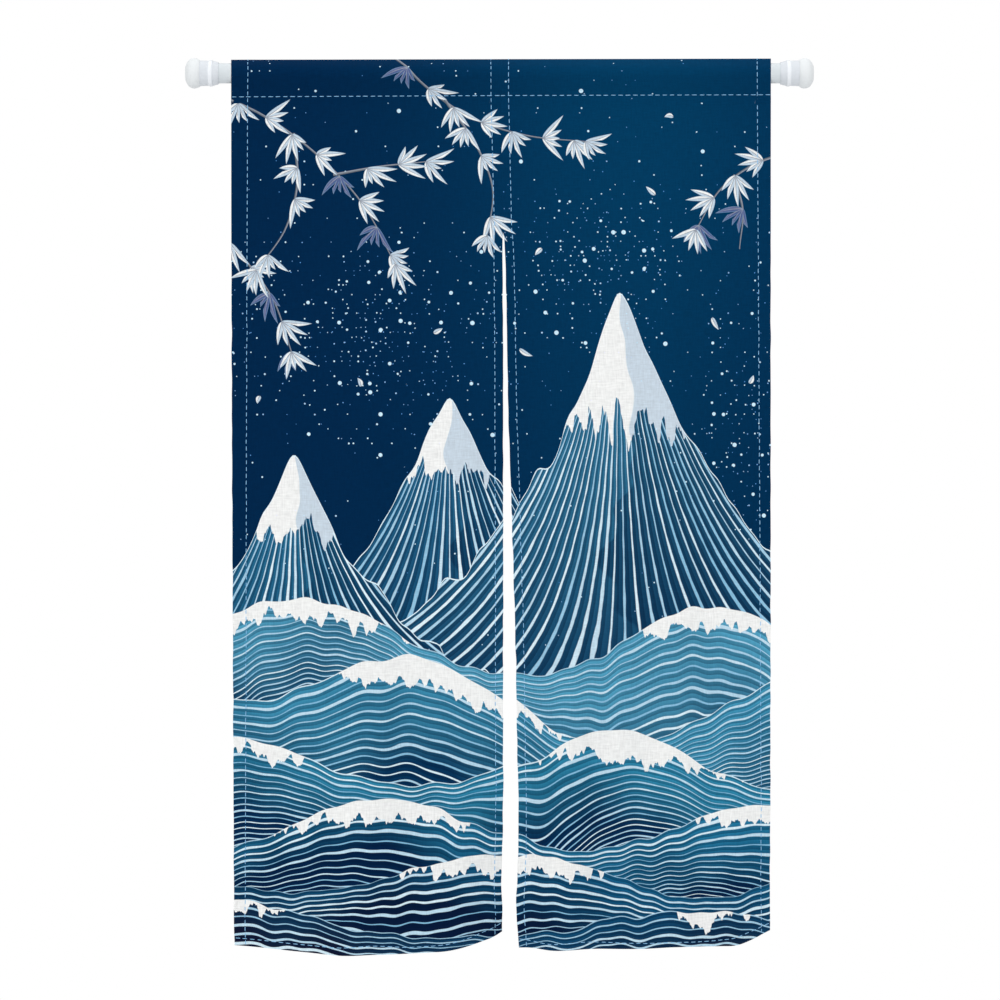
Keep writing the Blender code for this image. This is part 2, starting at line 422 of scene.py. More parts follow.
def hangLamp(name, place, aim, size, watts):
    # a square lamp turned so that it looks from its place to its aim
    lamp = bpy.data.lights.new(name, "AREA")
    lamp.shape, lamp.size, lamp.energy = "SQUARE", size, watts
    holder = bpy.data.objects.new(name, lamp)
    holder.location = place
    holder.rotation_mode = "QUATERNION"
    holder.rotation_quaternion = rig.Vector(np.array(place) - np.array(aim)).to_track_quat("Z", "Y")
    bpy.context.scene.collection.objects.link(holder)


def layFloor():
    # a disc that passes into the white ground with distance
    finish, tree, shader = newFinish("floorPaint", 0.9, 0.0)
    place = objectPlace(tree)
    away = worked("ShaderNodeVectorMath", {0: place}, "Value", operation="LENGTH")
    start, end = (math.hypot(radius, studio["floor"]) for radius in studio["floorFade"])
    fade = {0: away, 1: start, 2: end}
    fade = worked("ShaderNodeMapRange", fade, "Result", interpolation_type="SMOOTHSTEP")
    tone = mixed(fade, mixed(noise(place, studio["floorClouds"]), *studio["floorInks"]), (0, 0, 0, 1))
    setInputs(shader, {"Base Color": tone, "Emission Color": (1, 1, 1, 1), "Emission Strength": fade})
    sides = studio["floorSides"]
    turn = np.linspace(0, 2 * math.pi, sides, endpoint=False)
    points = studio["floorRadius"] * np.column_stack([np.cos(turn), np.sin(turn), np.zeros(sides)])
    points[:, 2] = studio["floor"]
    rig.stage(newPiece("floor", points, [range(sides)], finish))


setSky()
for lamp in studio["lamps"]:
    hangLamp(*lamp)
layFloor()
print("floor and light set")


# The cloth's shape: one long strip for each panel, from the bottom hem up the front,
# over the rod and down again behind to the end of the pocket

cloth = {
    "width": 0.430,  # one panel between its folded edges
    "sheet": 0.0006,  # one layer
    "hemExtra": 0.0008,  # what the turned-in hem adds on the back
    "front": -0.0006,  # the printed face, in front of the rod's axis
    "pocketBack": 0.0007,  # the pocket's back layer at its stitch line, behind the axis
    "pocketTail": 0.012,  # below that stitch line
    "creaseTop": 0.0228,
    "creaseTilt": (0.0022, 0.012),  # its rise for each metre to the right, and the level it starts at
    "creaseCells": (0.0018, 9),  # the mesh's extra rows there: how far each way, and how many
    "stitchBend": (0.0035, 0.012),  # how widely the bend there is rounded, and how far up and down
    "bend": 0.0005,  # how widely every other bend is rounded
    "pocketStitch": 0.036,
    "hemLow": 1.399,
    "wrapRadius": 0.0169,
    "seamLap": 0.00002,  # the sewn seam is closed, by this much each side
    "seamEnd": 0.240,  # below the rod's axis, where the slit opens
    "edgeRoll": (0.0005, 0.0010),  # how far the side edges roll back, and over what width
    "drawnIn": 0.17,  # how much narrower it gets for each metre that it stands forward
    "bottomHem": 0.0115,
    "hemPastStitch": 0.0022,
    "hemEdge": 0.0006,  # on each side of the turned-in hem's raw edge
    "risePower": 3.0,
    "cell": 0.0043,  # of the mesh
    "fineCell": 0.0012,
    "fineReach": 0.0028,
    "sharpAngle": 50,
    "seeds": {"left": {"relief": 3, "edge": 31}, "right": {"relief": 13, "edge": 41}},
}

# Where the panels' edges hang, at each level below the rod
edges = {
    "below": [0.036, 0.253, 0.266, 0.298, 0.361, 0.457, 0.552, 0.648,
              0.839, 0.935, 1.078, 1.158, 1.253, 1.317, 1.357, 1.399],
    "leftOuter": [-0.4276, -0.4274, -0.4273, -0.4272, -0.4270, -0.4268, -0.4266, -0.4263,
                  -0.4256, -0.4253, -0.4247, -0.4245, -0.4241, -0.4240, -0.4238, -0.4237],
    "leftInner": [0.0004, 0.0057, 0.0049, 0.0048, 0.0052, 0.0059, 0.0057, 0.0057,
                  0.0060, 0.0056, 0.0056, 0.0060, 0.0046, 0.0026, 0.0046, 0.0042],
    "rightInner": [0.0004, 0.0057, 0.0078, 0.0094, 0.0110, 0.0125, 0.0142, 0.0178,
                   0.0236, 0.0262, 0.0282, 0.0305, 0.0298, 0.0268, 0.0274, 0.0314],
    "rightOuter": [0.4324, 0.4323, 0.4322, 0.4322, 0.4321, 0.4321, 0.4321, 0.4320,
                   0.4320, 0.4318, 0.4315, 0.4318, 0.4321, 0.4325, 0.4333, 0.4342],
}

# Folds: place across, half width, how far back at the hem, where it starts, how late it grows
folds = {
    "left": [(0.00, 0.26, 0.014, 0.05, 1.2), (0.20, 0.17, -0.006, 0.10, 1.0),
             (0.43, 0.30, -0.026, 0.04, 1.1), (0.70, 0.18, 0.009, 0.12, 1.0),
             (1.00, 0.22, 0.012, 0.16, 1.0), (1.00, 0.24, 0.044, 0.72, 1.7)],
    "right": [(0.00, 0.16, 0.011, 0.16, 0.7), (0.17, 0.18, -0.016, 0.10, 0.7),
              (0.38, 0.17, 0.013, 0.06, 0.7), (0.58, 0.20, -0.017, 0.04, 0.8),
              (0.80, 0.17, 0.010, 0.06, 0.8), (1.00, 0.16, -0.005, 0.10, 1.0),
              (1.00, 0.22, 0.046, 0.74, 1.8)],
}

# How far the bottom hem is drawn up: place across, rise
rises = {
    "left": [(0.00, 0.0085), (0.12, 0.0050), (0.28, 0.0001), (0.40, -0.0040), (0.52, -0.0030),
             (0.66, -0.0036), (0.83, 0.0018), (0.92, 0.0106), (0.97, 0.0178), (1.00, 0.0256)],
    "right": [(0.00, 0.0050), (0.05, 0.0054), (0.12, 0.0028), (0.26, 0.0040), (0.40, 0.0024),
              (0.60, 0.0084), (0.80, 0.0070), (0.87, 0.0074), (0.93, 0.0154), (1.00, 0.0292)],
}

# Distance of each side's stitch line from the panel's edge, at the bottom and at the top
sideStitch = {
    "left": {"low": (0.0178, 0.0269), "high": (0.0112, 0.0142)},
    "right": {"low": (0.0132, 0.0140), "high": (0.0147, 0.0218)},
}

# The bottom hem's stitch line: place across, distance from the edge
hemStitch = {
    "left": [(0.00, 0.0119), (0.38, 0.0121), (0.52, 0.0138), (0.66, 0.0098), (0.78, 0.0106),
             (0.87, 0.0126), (0.95, 0.0154), (1.00, 0.0158)],
    "right": [(0.00, 0.0142), (0.06, 0.0110), (0.26, 0.0114), (0.47, 0.0090), (0.62, 0.0077),
              (0.74, 0.0082), (0.83, 0.0112), (0.91, 0.0146), (1.00, 0.0130)],
}

# Small relief: how deep, and over what length it changes
slack = {
    "groove": (0.00026, 0.0016),
    "pucker": (0.00030, 0.024),
    "puckerReach": 0.016,
    "broad": (0.0010, 0.33),
    "fine": (0.00035, 0.085),
    "drawnOut": 0.45,  # both are longer down the cloth than across it
    "pocket": (0.012, 0.25),  # from how far above its stitch line it is calmer, and its share
    "hanging": 0.10,  # below that line, where the slack is full
    "seam": (0.02, 0.03),  # how far from the sewn seam it is calm, and how far past its end
    "edge": (0.00035, 0.060),
    "edgeFrom": (0.22, 0.40),  # the levels between which the edges begin to waver
}


def stripSection():
    # the strip's section: straight up to the stitch line, on to where a line touches the circle
    # round the rod, round that circle, straight to the crease, and the same way down behind
    radius, stitch = cloth["wrapRadius"], cloth["pocketStitch"]
    joins = math.pi - math.acos(radius / cloth["creaseTop"])

    def halfOf(face):
        # the circle's arc from where the line from the stitch line touches it
        leaves = math.atan2(abs(face), stitch) + math.acos(radius / math.hypot(face, stitch))
        turns = np.linspace(leaves, joins, 60)
        return np.stack([radius * np.sin(turns), -radius * np.cos(turns)], axis=1)

    front, back = halfOf(cloth["front"]) * (-1, 1), halfOf(cloth["pocketBack"])[::-1]
    corners = np.concatenate([
        [[cloth["front"], -cloth["hemLow"]], [cloth["front"], -stitch]],
        front,
        [[0.0, cloth["creaseTop"]]],
        back,
        [[cloth["pocketBack"], -stitch], [cloth["pocketBack"], -stitch - cloth["pocketTail"]]],
    ])
    along = np.concatenate([[0], np.cumsum(np.hypot(*np.diff(corners, axis=0).T))])
    step = 0.0001  # between the points of the path
    dense = np.arange(0, along[-1], step)
    path = np.stack([np.interp(dense, along, column) for column in corners.T], axis=1)

    def softened(width):
        # the path blurred with a bell curve
        reach = np.arange(-int(3 * width / step), int(3 * width / step) + 1) * step
        weight = np.exp(-(reach / width) ** 2 / 2)
        padded = np.pad(path, ((len(reach) // 2,) * 2, (0, 0)), mode="reflect", reflect_type="odd")
        rounded = [np.convolve(column, weight / weight.sum(), mode="valid") for column in padded.T]
        return np.stack(rounded, axis=1)

    drop, crease = along[1], along[2 + len(front)]
    wide, reach = cloth["stitchBend"]
    nearStitch = np.exp(-((dense - drop) / reach) ** 4)[:, None]
    path = softened(wide) * nearStitch + softened(cloth["bend"]) * (1 - nearStitch)
    tail = along[-1] - cloth["pocketTail"]
    return {"along": dense, "path": path, "drop": drop, "crease": crease, "tail": tail, "end": dense[-1]}


section = stripSection()


def downCloth(along):
    # 0 at the pocket's stitch line and above it, 1 at the bottom
    return np.clip(1 - along / section["drop"], 0, 1)


def drawnUp(side, across, along):
    # the hem's rise at this place across, times a power of how far down the cloth it is
    rise = smoothCurve(*zip(*rises[side]), across / cloth["width"])
    return rise * downCloth(along) ** cloth["risePower"]


def printedFace(side, across, along):
    # the strip's printed face: its section carried between the panel's two edges, with each fold
    # pushing it back and each rise drawing up its hem
    down = downCloth(along)
    below = cloth["pocketStitch"] + down * (cloth["hemLow"] - cloth["pocketStitch"])
    names = ("leftOuter", "leftInner") if side == "left" else ("rightInner", "rightOuter")
    low, high = (np.interp(below, edges["below"], edges[name]) for name in names)
    lap = cloth["seamLap"]
    low, high = (low, high + lap) if side == "left" else (low - lap, high)
    wobble, length = slack["edge"]
    seed = cloth["seeds"][side]["edge"]
    hanging = smoothStep(*slack["edgeFrom"], below)
    low = low + wobble * ripple(seed, length, along) * hanging
    high = high + wobble * ripple(seed + 1, length, along) * hanging
    share = across / cloth["width"]
    x = low + share * (high - low)
    y, z = (np.interp(along, section["along"], column) for column in section["path"].T)
    for place, halfWidth, back, start, late in folds[side]:
        grown = np.clip((down - start) / (1 - start), 0, 1) ** late
        near = np.clip(np.abs((share - place) / halfWidth), 0, 1)
        y = y + back * grown * 0.5 * (1 + np.cos(math.pi * near))
    x = x * (1 + cloth["drawnIn"] * np.minimum(y, 0))
    roll, reach = cloth["edgeRoll"]
    y = y + roll * (np.exp(-(across / reach) ** 2) + np.exp(-((cloth["width"] - across) / reach) ** 2))
    z = z + drawnUp(side, across, along)
    tilt, start = cloth["creaseTilt"]
    z = z + tilt * x * smoothStep(start, cloth["creaseTop"], z)
    return np.stack(np.broadcast_arrays(x, y, z), axis=-1)


def stitchInset(side, edge, along):
    # from a side edge to its stitch line, changing evenly between the hem and the crease
    bottom, top = sideStitch[side][edge]
    return bottom + (top - bottom) * np.clip(along / section["crease"], 0, 1)


def hemInset(side, across):
    # from the bottom edge to its stitch line, a smooth curve through the table
    return smoothCurve(*zip(*hemStitch[side]), across / cloth["width"])


def relief(side, across, along):
    # along the normal: a groove under each stitch line, puckers that run off it, and a broad
    # slack that dies out at the pocket and at the sewn seam
    seed = cloth["seeds"][side]["relief"]
    deep, width = slack["groove"]
    lift, length = slack["pucker"]
    lines = [
        (across - stitchInset(side, "low", along), along),
        (cloth["width"] - across - stitchInset(side, "high", along), along),
        (along - hemInset(side, across), across),
        (along - section["drop"], across),
    ]
    total = 0.0
    for number, (away, run) in enumerate(lines):
        puckers = ripple(seed + number, length, run) * np.exp(-(away / slack["puckerReach"]) ** 2)
        total = total - deep * np.exp(-(away / width) ** 2) + lift * puckers
    above, calmer = slack["pocket"]
    total = total * np.where(along > section["drop"] + above, calmer, 1.0)
    hanging = smoothStep(0, slack["hanging"], section["drop"] - along)
    for shift, kind in enumerate(("broad", "fine"), 5):
        lift, length = slack[kind]
        total = total + lift * ripple(seed + shift, length, across, along * slack["drawnOut"]) * hanging
    toSeam = cloth["width"] - across if side == "left" else across
    slitStart = section["drop"] + cloth["pocketStitch"] - cloth["seamEnd"]
    reach, past = slack["seam"]
    sewn = np.exp(-(toSeam / reach) ** 2) * smoothStep(slitStart - past, slitStart, along)
    return total * (1 - sewn)


def clothPoint(side, across, along):
    # a point of the printed face moved along its normal by the relief, and that normal: the
    # cross product of the face's slopes across and along
    plain, small = printedFace(side, across, along), 0.0004
    slopeAcross = printedFace(side, across + small, along) - printedFace(side, across - small, along)
    slopeAlong = printedFace(side, across, along + small) - printedFace(side, across, along - small)
    normal = np.cross(slopeAcross, slopeAlong)
    normal /= np.linalg.norm(normal, axis=-1, keepdims=True)
    return plain + normal * relief(side, across, along)[..., None], normal


def turnedIn(side, across, along):
    # how far a place lies inside each turned-in hem, negative outside it: the low side's,
    # the high side's and the bottom's
    past = cloth["hemPastStitch"]
    low = stitchInset(side, "low", along) + past - across
    high = stitchInset(side, "high", along) + past - (cloth["width"] - across)
    return low, high, hemInset(side, across) + past - along


def layerDepth(side, across, along):
    # one layer, and the turned-in hem's extra from just outside its raw edge inwards
    turned = np.maximum.reduce(turnedIn(side, across, along))
    return cloth["sheet"] + cloth["hemExtra"] * smoothStep(-cloth["hemEdge"], cloth["hemEdge"], turned)


def crowded(end, marks):
    # places from 0 to end, a cell apart, drawn together to fine cells within reach of each mark
    usual, fine = 1 / cloth["cell"], 1 / cloth["fineCell"]
    dense = np.linspace(0, end, 20000)
    crowd = np.full_like(dense, usual)
    for mark in marks:
        near = np.exp(-((dense - mark) / cloth["fineReach"]) ** 2)
        crowd = np.maximum(crowd, usual + (fine - usual) * near)
    total = np.concatenate([[0], np.cumsum((crowd[1:] + crowd[:-1]) / 2 * np.diff(dense))])
    return np.interp(np.linspace(0, total[-1], math.ceil(total[-1]) + 1), total, dense)


def panelGrid(side):
    # the strip's own coordinates, in rows and columns that follow its hems' stitch lines
    width, hem = cloth["width"], cloth["bottomHem"]
    marks = [0, sideStitch[side]["low"][0], width - sideStitch[side]["high"][0], width]
    columns = crowded(width, marks)
    rows = crowded(section["end"], [0, hem, section["drop"], section["end"]])
    reach, count = cloth["creaseCells"]
    rows = np.union1d(rows, section["crease"] + np.linspace(-reach, reach, count))
    low, high = stitchInset(side, "low", rows), width - stitchInset(side, "high", rows)
    across = np.array([np.interp(columns, marks, [0, *pair, width]) for pair in zip(low, high)])
    moved = np.interp(rows, [0, hem, 3 * hem], [0, 1, 0])
    return across, rows[:, None] + moved[:, None] * (hemInset(side, across[0]) - hem)


# The print: a made-up snowy landscape. Each layer is worked out at the mesh's points as a few
# smooth numbers, and the cloth's material draws its crisp edges from them.

inks = {
    "night": (0, 38, 74),
    "nightLight": (1, 60, 97),
    "deep": (3, 24, 54),
    "snow": (244, 245, 244),
    "snowShade": (196, 212, 226),
    "line": (224, 244, 253),
    "flake": (206, 238, 255),
    "flakeFar": (90, 158, 230),
    "lineDim": (134, 190, 222),
    "stem": (96, 103, 112),
    "rib": (150, 156, 168),
    "indigo": (44, 66, 130),
}

# Far peaks, back to front: where, top, foot, spread of each flank, snow below the top, lines, inks
peaks = {
    "peakFar": {"at": -0.085, "top": 0.880, "foot": 0.40, "spread": (0.20, 0.24), "snow": 0.115,
                "lines": 13, "high": (44, 114, 154), "low": (6, 52, 90)},
    "peakMain": {"at": 0.185, "top": 1.045, "foot": 0.36, "spread": (0.25, 0.27), "snow": 0.205,
                 "lines": 17, "high": (62, 140, 178), "low": (4, 50, 88)},
    "peakLow": {"at": -0.330, "top": 0.790, "foot": 0.34, "spread": (0.20, 0.21), "snow": 0.120,
                "lines": 13, "high": (48, 128, 168), "low": (3, 44, 82)},
}

# Hills, back to front: crest, distance between lines and snow on the crest, each along X, and inks
hills = {
    "hillOne": {
        "crest": [(-.47, .520), (-.36, .560), (-.24, .545), (-.11, .475), (.02, .440),
                  (.14, .470), (.27, .540), (.37, .545), (.47, .500)],
        "pitch": [(-.47, .017), (-.20, .010), (.05, .007), (.28, .014), (.47, .017)],
        "snow": [(-.47, .016), (-.33, .030), (-.20, .014), (-.08, -.03), (.12, -.03), (.26, .026),
                 (.47, .020)],
        "lean": 0.9, "high": (84, 166, 200), "low": (8, 62, 100), "deep": 0.17},
    "hillTwo": {
        "crest": [(-.47, .400), (-.36, .405), (-.25, .450), (-.14, .470), (-.03, .420),
                  (.08, .345), (.20, .330), (.33, .380), (.47, .450)],
        "pitch": [(-.47, .012), (-.25, .016), (-.05, .012), (.15, .007), (.47, .015)],
        "snow": [(-.47, -.03), (-.30, -.01), (-.20, .034), (-.10, .042), (.02, .018), (.16, -.03),
                 (.47, -.03)],
        "lean": -0.8, "high": (66, 152, 188), "low": (5, 52, 90), "deep": 0.16},
    "hillThree": {
        "crest": [(-.47, .345), (-.37, .330), (-.25, .285), (-.12, .265), (.02, .300),
                  (.13, .350), (.22, .345), (.34, .285), (.47, .250)],
        "pitch": [(-.47, .016), (-.25, .010), (-.05, .008), (.14, .018), (.30, .012), (.47, .008)],
        "snow": [(-.47, .024), (-.36, .018), (-.24, -.03), (.00, -.03), (.10, .028), (.20, .040),
                 (.32, .010), (.47, -.03)],
        "lean": 0.8, "high": (48, 138, 174), "low": (3, 44, 82), "deep": 0.15},
    "hillFour": {
        "crest": [(-.47, .150), (-.36, .190), (-.26, .235), (-.15, .240), (-.03, .195),
                  (.10, .160), (.23, .185), (.35, .225), (.47, .235)],
        "pitch": [(-.47, .009), (-.22, .017), (.00, .010), (.15, .008), (.35, .016), (.47, .014)],
        "snow": [(-.47, -.03), (-.32, .010), (-.22, .032), (-.10, .020), (.02, -.03), (.24, -.03),
                 (.36, .024), (.47, .016)],
        "lean": -0.9, "high": (36, 122, 162), "low": (2, 34, 70), "deep": 0.14},
    "hillFive": {
        "crest": [(-.47, .110), (-.35, .095), (-.22, .110), (-.08, .145), (.06, .150),
                  (.18, .115), (.30, .085), (.40, .095), (.47, .120)],
        "pitch": [(-.47, .013), (-.25, .008), (-.05, .015), (.10, .015), (.30, .009), (.47, .012)],
        "snow": [(-.47, -.03), (-.20, -.01), (-.06, .022), (.06, .026), (.18, -.008), (.47, -.03)],
        "lean": 0.8, "high": (24, 102, 144), "low": (6, 26, 58), "deep": 0.12},
    "hillSix": {
        "crest": [(-.47, .085), (-.36, .070), (-.22, .035), (-.08, .020), (.08, .035),
                  (.22, .060), (.34, .062), (.47, .040)],
        "pitch": [(-.47, .014), (-.25, .009), (.00, .008), (.25, .013), (.47, .011)],
        "snow": [(-.47, .012), (-.38, .010), (-.28, -.03), (.20, -.03), (.30, .016), (.47, -.03)],
        "lean": -0.7, "high": (16, 80, 120), "low": (16, 21, 46), "deep": 0.10},
}

# Bamboo: each stem's line, with a sprig at every spacing along it
bamboo = {
    "stems": [
        [(-.465, 1.370), (-.385, 1.335), (-.300, 1.275), (-.225, 1.195), (-.170, 1.095)],
        [(-.465, 1.165), (-.420, 1.115), (-.365, 1.040), (-.335, .955)],
        [(-.180, 1.450), (-.125, 1.385), (-.050, 1.330), (.040, 1.300), (.135, 1.290)],
        [(.465, 1.275), (.405, 1.255), (.350, 1.215), (.310, 1.150)],
    ],
    "twigs": [
        [(-.330, 1.298), (-.325, 1.225), (-.345, 1.150), (-.390, 1.085)],
        [(-.085, 1.352), (-.040, 1.285), (-.015, 1.215), (-.025, 1.140)],
        [(-.262, 1.238), (-.195, 1.250), (-.120, 1.258)],
        [(.372, 1.232), (.385, 1.180), (.380, 1.125)],
    ],
    "step": 0.002,  # between a stem's points
    "halfWidth": (0.0021, 0.0008),  # of a stem, at its two ends
    "spacing": 0.050,  # between sprigs
    "aside": (0.6, 1.2),  # how far a sprig turns from its stem
    "droop": 0.30,  # and then towards straight down, as a share
    "layers": 5,
    "seed": 5,
    "between": 0.010,  # the least gap between two sprigs of a layer
    # the longest leaf, its half width, the angle between leaves, how many on each side of the
    # middle one, and the number above which a sprig is dark
    "leaf": {"length": 0.052, "halfWidth": 0.0046, "fan": 0.42, "most": 2.0, "dark": 0.86},
    "fallenLeaf": {"length": 0.026, "halfWidth": 0.0040, "fan": 7.0, "most": 0.0, "dark": 2.0},
    # place and turn
    "fallen": [(.245, 1.205, 2.4), (-.110, .985, .5), (.060, 1.120, 3.9), (.335, 1.010, 5.2),
               (.395, .905, 1.1), (-.385, .885, 4.4), (-.225, .900, 2.0), (.020, .960, 5.8),
               (.275, 1.330, 3.2)],
}

# Falling snow: cells to a metre, the smallest and largest radius, and how many cells hold a flake
flakes = {
    "edge": 0.0006,
    "small": 2.5,  # the power that makes most flakes small
    "bright": 3.0,  # how soon they are bright as they grow
    "behind": {"cells": 62.0, "sizes": (0.0008, 0.0035), "share": 1.0},
    "before": {"cells": 131.0, "sizes": (0.0006, 0.0014), "share": 0.75},
    "everywhere": 0.03,
    # where it gathers: place, half width and half height, and how thickly
    "drifts": [(-0.20, 0.97, 0.17, 0.12, 0.42), (0.17, 1.10, 0.13, 0.10, 0.46),
               (0.38, 0.84, 0.09, 0.14, 0.34)],
}

# How rough the land is: height and length of each ripple, and the notches in the peaks' flanks
landRelief = {
    "ridge": [(0.008, 0.15), (0.003, 0.045)],
    "notch": (0.020, 0.13, 0.35),  # depth, length and how blunt
    "notchFrom": 0.08,  # from the top, where notches are full
    "blunt": 0.010,  # how round the top is
    "topLines": 0.020,  # how far apart the outermost lines are at the top
    "crest": (0.0025, 0.07),
    "peakSeed": 50,
    "hillSeed": 70,
}

# Light in the air: the bright part's place, half width and levels, and its least share; then how
# much the hills darken towards the bottom, between two levels, and brighten to the right
air = {
    "glow": (0.22, 0.30),
    "glowLevels": (0.6, 1.45),
    "glowLeast": 0.45,
    "dusk": 0.45,
    "duskLevels": (0.02, 0.34),
    "brighter": 0.35,
}


def peakField(peak, seed, x, z):
    # a ridge that falls away from its top as exp(-distance / spread), so a line at a fixed share
    # of the flank's width runs down from the top as the flanks do; with the snow's depth
    away = x - peak["at"]
    spread = np.where(away < 0, *peak["spread"])
    height = peak["top"] - peak["foot"]
    blunt = landRelief["blunt"]
    ridge = peak["foot"] + height * np.exp(-(np.hypot(away, blunt) - blunt) / spread)
    for number, (lift, length) in enumerate(landRelief["ridge"]):
        ridge = ridge + lift * ripple(seed + number, length, x)
    deep, length, least = landRelief["notch"]
    notches = np.hypot(ripple(seed + 2, length, x), least)
    ridge = ridge - deep * notches * smoothStep(0, landRelief["notchFrom"], np.abs(away))
    flank = -np.log(np.clip((z - peak["foot"]) / height, 0.02, 1)) * spread + landRelief["topLines"]
    return np.stack([ridge - z, away / flank * peak["lines"], peak["snow"] - (peak["top"] - z)], axis=-1)


def hillField(hill, seed, x, z):
    # depth under the crest, the same depth counted in lines that lean and crowd along the hill,
    # and how far the snow reaches past it
    lift, length = landRelief["crest"]
    depth = smoothCurve(*zip(*hill["crest"]), x) + lift * ripple(seed, length, x) - z
    pitch = smoothCurve(*zip(*hill["pitch"]), x + hill["lean"] * depth)
    snow = smoothCurve(*zip(*hill["snow"]), x)
    return np.stack([depth, depth / pitch, snow - depth], axis=-1)


def stemLines(which):
    # each stem as a smooth line of even steps
    return [throughPoints(stem, bamboo["step"]) for stem in bamboo[which]]


def stemField(lines, x, z):
    # signed distance from the nearest stem in its own half widths, and plain distance
    best = np.full(x.shape, np.inf)
    found = np.zeros((*x.shape, 3))
    for line in lines:
        ahead = np.gradient(line, axis=0)
        ahead /= np.linalg.norm(ahead, axis=1, keepdims=True)
        apart = np.hypot(x[:, None] - line[:, 0], z[:, None] - line[:, 1])
        near = apart.argmin(axis=1)
        offX, offZ = x - line[near, 0], z - line[near, 1]
        across = offZ * ahead[near, 0] - offX * ahead[near, 1]
        halfWidth = np.interp(near, [0, len(line) - 1], bamboo["halfWidth"])
        distance = apart.min(axis=1)
        closer = distance < best
        found[closer, 0] = (across / halfWidth)[closer]
        best = np.minimum(best, distance)
    found[:, 1] = best
    return found


def placeSprigs(lines):
    # sprigs at even steps along each stem, turned to its two sides in turn and drooping, shared out
    # over a few layers so that none in a layer reaches another
    random = np.random.default_rng(bamboo["seed"])
    layers = [[] for _ in range(bamboo["layers"])]
    spacing = bamboo["spacing"] / bamboo["step"]
    reach = 2 * bamboo["leaf"]["length"] + bamboo["between"]
    for line in lines:
        for number in range(1, int(len(line) / spacing) + 2):
            i = min(len(line) - 1, round(number * spacing))
            ahead = line[i] - line[max(0, i - 4)]
            side = 0.0 if i == len(line) - 1 else (-1) ** number * random.uniform(*bamboo["aside"])
            turn = math.atan2(ahead[1], ahead[0]) + side
            down = (math.pi / 2 - turn) % (2 * math.pi) - math.pi
            sprig = (*line[i], turn + bamboo["droop"] * down, random.uniform())
            for layer in layers:
                apart = [math.hypot(sprig[0] - other[0], sprig[1] - other[1]) for other in layer]
                if min(apart, default=1.0) > reach:
                    layer.append(sprig)
                    break
    return layers


def sprigField(layer, x, z):
    # a place as seen from its nearest sprig: forward and sideways of it, and how far away, with
    # the number that tells the sprigs apart
    layer = np.array(layer)
    apart = np.hypot(x[:, None] - layer[:, 0], z[:, None] - layer[:, 1])
    near = layer[apart.argmin(axis=1)]
    offX, offZ = x - near[:, 0], z - near[:, 1]
    forward = offX * np.cos(near[:, 2]) + offZ * np.sin(near[:, 2])
    sideways = offZ * np.cos(near[:, 2]) - offX * np.sin(near[:, 2])
    return np.stack([forward, sideways, apart.min(axis=1)], axis=-1), near[:, 3]


def airField(x, z):
    # how much the sky glows, how thickly flakes fall in it, each drift a round hump over what
    # falls everywhere, and how much the hills darken
    (place, halfWidth), least = air["glow"], air["glowLeast"]
    glow = least + (1 - least) * smoothStep(*air["glowLevels"], z)
    glow = glow * np.exp(-((x - place) / halfWidth) ** 2)
    falling = flakes["everywhere"]
    for atX, atZ, halfWidth, halfHeight, thick in flakes["drifts"]:
        falling = falling + thick * np.exp(-((x - atX) / halfWidth) ** 2 - ((z - atZ) / halfHeight) ** 2)
    dusk = air["dusk"] * (1 - smoothStep(*air["duskLevels"], z))
    dusk = dusk - air["brighter"] * smoothStep(-cloth["width"], cloth["width"], x)
    return np.stack([glow, falling, dusk], axis=-1)


def printFields(x, z, front):
    # every field of the print at places x, z of the flat cloth
    found = {"cloth": np.stack([x, z, front], axis=-1), "air": airField(x, z)}
    for number, (name, peak) in enumerate(peaks.items()):
        found[name] = peakField(peak, landRelief["peakSeed"] + 2 * number, x, z)
    for number, (name, hill) in enumerate(hills.items()):
        found[name] = hillField(hill, landRelief["hillSeed"] + number, x, z)
    for which in ("stems", "twigs"):
        found[which] = stemField(stemLines(which), x, z)
    for number, layer in enumerate(placeSprigs(stemLines("stems") + stemLines("twigs"))):
        found[f"sprig{number}"], found[f"sprig{number}Kind"] = sprigField(layer, x, z)
    fallen = [(*leaf, number / len(bamboo["fallen"])) for number, leaf in enumerate(bamboo["fallen"])]
    found["fallen"], found["fallenKind"] = sprigField(fallen, x, z)
    return found


